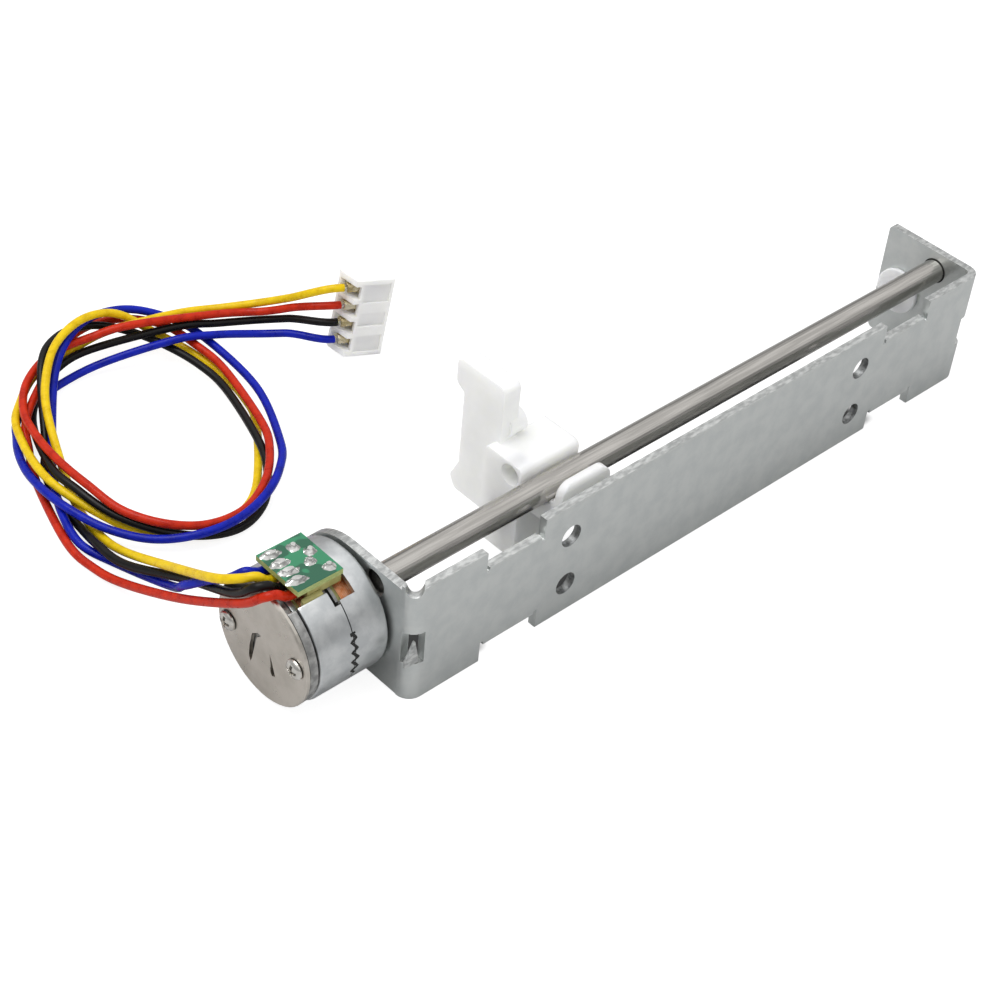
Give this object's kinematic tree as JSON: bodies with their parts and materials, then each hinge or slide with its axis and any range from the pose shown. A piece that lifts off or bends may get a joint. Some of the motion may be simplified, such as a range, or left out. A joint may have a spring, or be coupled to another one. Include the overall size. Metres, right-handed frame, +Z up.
{
  "type": "stepper motor linear slide",
  "caption": "Small linear slide: a folded bracket holds a guide rod and a lead screw that a can-stack stepper motor turns to move a moulded carriage.",
  "frame": {"origin": "centre of the four mounting holes, on the outer face of the long plate", "axes": "+X along the guide rod from the motor towards the far flange, +Y from the plate's outer face into the channel, +Z up towards the guide rod"},
  "size_m": [0.1061, 0.0691, 0.0223],
  "materials": {
    "zinc_sheet": "zinc plated, satin",
    "zinc_can": "zinc plated, satin",
    "ground_steel": "ground, bright",
    "nickel": "nickel plated, satin",
    "rough_steel": "dull, rough",
    "bright_steel": "bright",
    "bobbin_plastic": "natural, translucent",
    "copper_wire": "enamelled copper",
    "green_board": "solder mask",
    "magnet": "sintered ferrite",
    "solder": "bright tin",
    "tin": "tinned",
    "moulding": "white, satin",
    "housing": "natural white",
    "yellow_jacket": "soft insulation",
    "red_jacket": "soft insulation",
    "black_jacket": "soft insulation",
    "blue_jacket": "soft insulation"
  },
  "bodies": {
    "frame": {"bracket": "zinc_sheet", "motor_front_can": "zinc_can", "motor_rear_can": "zinc_can", "guide_rod": "ground_steel", "thrust_ball": "ground_steel", "front_bearing_bush": "nickel", "rear_bearing_bush": "nickel", "end_cover": "nickel", "motor_ring_plate": "rough_steel", "front_pole_plate": "rough_steel", "rear_pole_plate": "rough_steel", "front_bobbin": "bobbin_plastic", "rear_bobbin": "bobbin_plastic", "terminal_block": "bobbin_plastic", "front_winding": "copper_wire", "rear_winding": "copper_wire", "cover_screw_1": "bright_steel", "cover_screw_2": "bright_steel", "circuit_board": "green_board", "terminal_pin_1": "solder", "terminal_pin_2": "solder", "terminal_pin_3": "solder", "terminal_pin_4": "solder", "crimp_contact_1": "tin", "crimp_contact_2": "tin", "crimp_contact_3": "tin", "crimp_contact_4": "tin", "wire_yellow": "yellow_jacket", "wire_red": "red_jacket", "wire_black": "black_jacket", "wire_blue": "blue_jacket", "screw_end_bearing": "moulding", "connector_housing": "housing"},
    "screw": {"lead_screw": "ground_steel", "rotor_hub": "nickel", "rotor_magnet": "magnet"},
    "carriage": {"carriage": "moulding"}
  },
  "joints": [
    {"name": "carriage_slide", "type": "slide", "parent": "frame", "child": "carriage", "axis": [1, 0, 0], "range_m": [-0.0195, 0.059]},
    {"name": "screw_spin", "type": "hinge", "parent": "frame", "child": "screw", "pos_m": [0, 0.01025, 0], "axis": [1, 0, 0], "range_deg": [-7090, 2350]}
  ],
  "couplings": [
    {"joint": "screw_spin", "follows": "carriage_slide", "rad_per_m": -2094.4}
  ]
}
